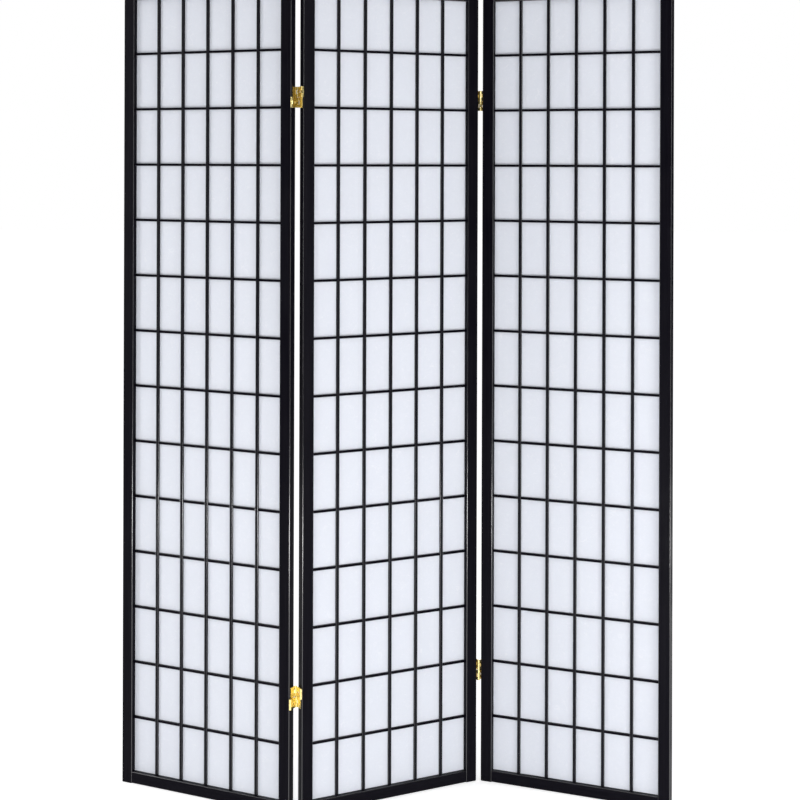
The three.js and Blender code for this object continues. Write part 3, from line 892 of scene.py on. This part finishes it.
class SHOJI_OT_screws(bpy.types.Operator):
    """Models one countersunk screw and drives a copy into each hole of the leaves"""

    bl_idname = "shoji.screws"
    bl_label = "Screws"

    def execute(self, context):
        settings = context.scene.shoji_hinge
        pattern = countersunk_screw(settings)
        material = brass_material("Brass Screws", settings, SCREW_ROUGHNESS, SCREW_BRUSHING)
        driven = 0
        for side in SIDES:
            for name, place in screw_places(side):
                tightened = Matrix.Rotation(math.radians(SCREW_TURN * driven % 90), 4, "Z")
                screw = copy_in_place(pattern, name, panel_place(side) @ place @ tightened)
                finish(screw, material, f"{side}_panel")
                driven += 1
        bpy.data.objects.remove(pattern)
        return {"FINISHED"}


# ---- Studio ----


def seen_ray(tree):
    """1 for rays that show the background: from the camera, in gloss and through glass."""
    path = add(tree, "ShaderNodeLightPath")
    gloss = add(tree, "ShaderNodeMath", operation="MAXIMUM")
    glass = add(tree, "ShaderNodeMath", operation="MAXIMUM")
    wire(
        tree,
        ((path, "Is Camera Ray"), (gloss, 0)), ((path, "Is Glossy Ray"), (gloss, 1)),
        ((gloss, 0), (glass, 0)), ((path, "Is Transmission Ray"), (glass, 1)))
    return glass


def white_world(settings):
    """White where it is seen, and a plain soft light where it lights the screen."""
    world = bpy.data.worlds.new("Studio")
    world.use_nodes = True
    tree = world.node_tree
    tree.nodes.clear()
    light = add(tree, "ShaderNodeBackground", {"Color": (1, 1, 1, 1), "Strength": settings.ambient})
    white = add(tree, "ShaderNodeBackground", {"Color": (1, 1, 1, 1), "Strength": 1.0})
    mix = add(tree, "ShaderNodeMixShader")
    end = add(tree, "ShaderNodeOutputWorld")
    seen = seen_ray(tree)
    wire(
        tree,
        ((seen, 0), (mix, "Fac")), ((light, "Background"), (mix, 1)),
        ((white, "Background"), (mix, 2)), ((mix, "Shader"), (end, "Surface")))
    return world


def floor_material(settings):
    """A pale matt floor that reads white where no shadow falls."""
    material, tree, shader = new_material(
        "Studio Floor", {"Base Color": opaque(settings.floor_colour), "Roughness": 0.8,
                         "Specular IOR Level": 0.0, "Emission Color": (1, 1, 1, 1)})
    glow = add(tree, "ShaderNodeMath", {1: FLOOR_GLOW}, operation="MULTIPLY")
    wire(tree, ((seen_ray(tree), 0), (glow, 0)), ((glow, 0), (shader, "Emission Strength")))
    return material


def soft_light(name, place, target, size, power):
    """A rectangular softbox that faces a point."""
    bpy.ops.object.light_add(type="AREA", location=place)
    lamp = bpy.context.object
    lamp.name = name
    lamp.visible_camera = False
    lamp.data.shape = "RECTANGLE"
    lamp.data.size, lamp.data.size_y = size
    lamp.data.energy = power
    lamp.rotation_euler = (Vector(target) - Vector(place)).to_track_quat("-Z", "Y").to_euler()
    return lamp


def dark_room():
    """The dark room round the white backdrop. Only gloss and metal show it, and it takes no light away."""
    bpy.ops.object.select_all(action="DESELECT")
    bpy.ops.mesh.primitive_cylinder_add(
        vertices=60, radius=ROOM_RADIUS, depth=ROOM_HEIGHT, end_fill_type="NOTHING",
        location=(0, 0, ROOM_HEIGHT / 2))
    room = bpy.context.object
    room.name = "dark_room"
    bpy.ops.object.transform_apply(location=True)
    bpy.ops.object.mode_set(mode="EDIT")
    bpy.ops.mesh.select_all(action="DESELECT")
    bpy.ops.object.mode_set(mode="OBJECT")
    for face in room.data.polygons:
        across, along, _ = face.center
        face.select = abs(math.atan2(across, along)) < ROOM_OPENING
    bpy.ops.object.mode_set(mode="EDIT")
    bpy.ops.mesh.delete(type="FACE")
    bpy.ops.object.mode_set(mode="OBJECT")
    material, _, _ = new_material(
        "Dark Room", {"Base Color": (0.02, 0.02, 0.022, 1), "Roughness": 1.0, "Specular IOR Level": 0.0})
    room.data.materials.append(material)
    room.visible_camera = room.visible_diffuse = room.visible_transmission = room.visible_shadow = False
    return room


class SHOJI_OT_stage(bpy.types.Operator):
    """Lays the floor, hangs the lights and sets up the camera"""

    bl_idname = "shoji.stage"
    bl_label = "Studio"

    def execute(self, context):
        settings = context.scene.shoji_stage
        bpy.ops.object.select_all(action="DESELECT")
        bpy.ops.mesh.primitive_plane_add(size=FLOOR_SIZE, location=(0, 0, 0))
        floor = context.object
        floor.name = "studio_floor"
        floor.data.materials.append(floor_material(settings))
        dark_room()
        soft_light("key_softbox", (2.25, -2.41, 1.5), SCREEN_MIDDLE, (0.9, 2.9), settings.key_power)
        soft_light("fill_softbox", (-1.24, -3.06, 1.4), SCREEN_MIDDLE, (1.0, 2.0), settings.fill_power)
        soft_light("side_softbox", (-3.13, -0.67, 1.5), SCREEN_MIDDLE, (0.8, 2.0), settings.side_power)
        soft_light("low_light", (0, -2.2, 0.12), SCREEN_BOTTOM, (2.4, 0.16), settings.low_power)
        context.scene.world = white_world(settings)
        context.scene.view_settings.view_transform = "Standard"
        bpy.ops.object.camera_add(
            location=settings.camera_place, rotation=(math.pi / 2, -settings.camera_roll, 0))
        camera = context.object
        camera.name = "photo_camera"
        camera.data.lens = settings.camera_lens
        camera.data.sensor_width = SENSOR_WIDTH
        camera.data.shift_y = settings.camera_shift
        context.scene.camera = camera
        return {"FINISHED"}


# ---- Add-on ----

STEPS = (SHOJI_OT_stage, SHOJI_OT_frame_members, SHOJI_OT_lattices, SHOJI_OT_papers, SHOJI_OT_hinges,
         SHOJI_OT_screws)


class SHOJI_PT_sidebar(bpy.types.Panel):
    """Lists the steps that build the screen, and their settings"""

    bl_idname = "SHOJI_PT_sidebar"
    bl_label = "Shoji Screen"
    bl_space_type = "VIEW_3D"
    bl_region_type = "UI"
    bl_category = "Shoji Screen"

    def draw(self, context):
        layout = self.layout
        for step in STEPS:
            layout.operator(step.bl_idname)
        for key in SETTINGS:
            settings = getattr(context.scene, key)
            box = layout.box()
            for name in settings.__annotations__:
                box.prop(settings, name)


SETTINGS = {
    "shoji_lattice": ShojiLatticeSettings,
    "shoji_paper": ShojiPaperSettings,
    "shoji_lacquer": ShojiLacquerSettings,
    "shoji_hinge": ShojiHingeSettings,
    "shoji_stage": ShojiStageSettings,
}


def register():
    for cls in (*SETTINGS.values(), *STEPS, SHOJI_PT_sidebar):
        bpy.utils.register_class(cls)
    for key, cls in SETTINGS.items():
        setattr(bpy.types.Scene, key, bpy.props.PointerProperty(type=cls))


def unregister():
    for key in SETTINGS:
        delattr(bpy.types.Scene, key)
    for cls in reversed((*SETTINGS.values(), *STEPS, SHOJI_PT_sidebar)):
        bpy.utils.unregister_class(cls)


def main():
    """Builds the screen and its studio."""
    register()
    build_fine_wear_group()
    build_wood_grain_group()
    build_paper_fibre_group()
    build_eased_edge_group()
    bpy.ops.shoji.stage()
    bpy.ops.shoji.frame_members()
    bpy.ops.shoji.lattices()
    bpy.ops.shoji.papers()
    bpy.ops.shoji.hinges()
    bpy.ops.shoji.screws()


if __name__ == "__main__":
    main()
